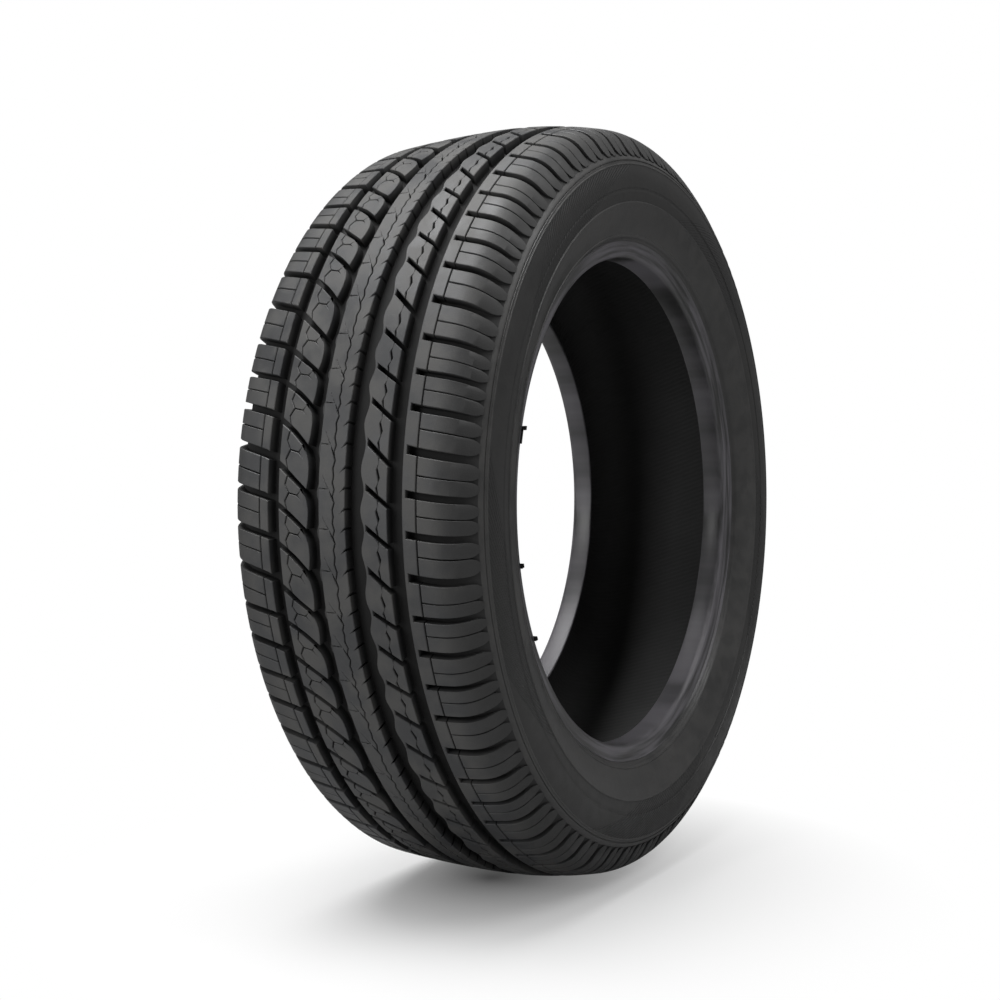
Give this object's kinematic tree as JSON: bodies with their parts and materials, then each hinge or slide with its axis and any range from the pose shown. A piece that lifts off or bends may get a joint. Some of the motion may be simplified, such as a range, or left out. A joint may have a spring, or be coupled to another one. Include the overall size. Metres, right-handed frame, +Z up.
{
  "type": "passenger car tyre",
  "caption": "Loose road tyre standing on its tread: asymmetric blocks and ribs, plain sidewalls, open beads that grip a wheel rim",
  "frame": {"origin": "wheel centre, on the axle and halfway between the beads", "axes": "+Y along the axle towards the side with the slanted leaf blocks, +Z up, +X across the axle"},
  "size_m": [0.6316, 0.202, 0.6316],
  "materials": {
    "tyre_rubber": "satin moulded rubber"
  },
  "bodies": {
    "root": {"tyre": "tyre_rubber"}
  },
  "joints": []
}
